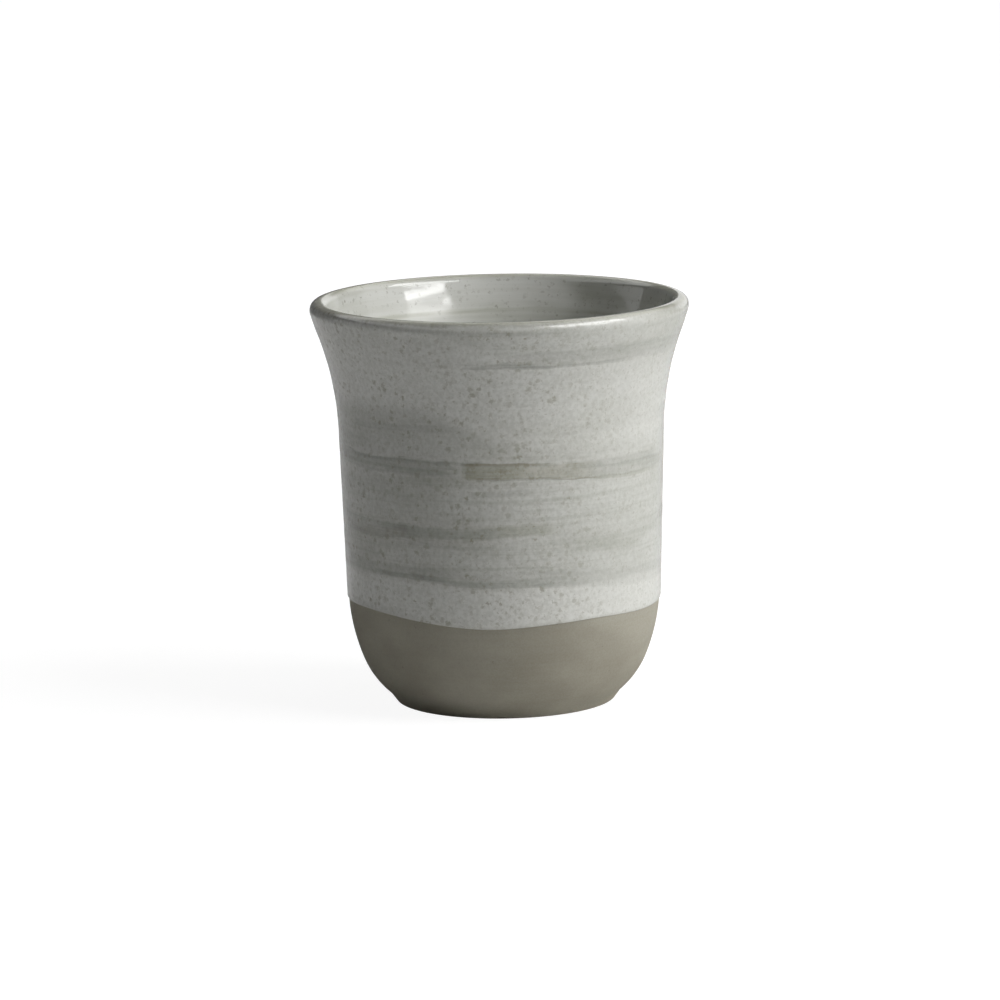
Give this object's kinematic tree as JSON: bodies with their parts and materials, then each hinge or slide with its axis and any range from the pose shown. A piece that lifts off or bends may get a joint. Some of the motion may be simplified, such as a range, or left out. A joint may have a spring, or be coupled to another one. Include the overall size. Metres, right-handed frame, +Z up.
{
  "type": "stoneware cup",
  "caption": "Handle-less stoneware cup with a flared rounded lip, straight wall, round bowl and turned foot, glazed inside and dipped in speckled glaze down to a bare clay band.",
  "frame": {"origin": "centre of the ring-shaped face that the cup stands on", "axes": "+Z up the cup's axis from the foot to the lip; -Y is the side that the picture shows"},
  "size_m": [0.085, 0.085, 0.091],
  "materials": {
    "bare_stoneware": "matt, unglazed, fine-grained, warm grey-beige",
    "brushed_glaze": "satin to gloss, grey-white with brushed olive-grey bands and fine brown specks",
    "liner_glaze": "gloss, pale grey-white with fine brown specks"
  },
  "bodies": {
    "root": {"stoneware_body": "bare_stoneware", "outer_glaze": "brushed_glaze", "liner_glaze": "liner_glaze"}
  },
  "joints": []
}
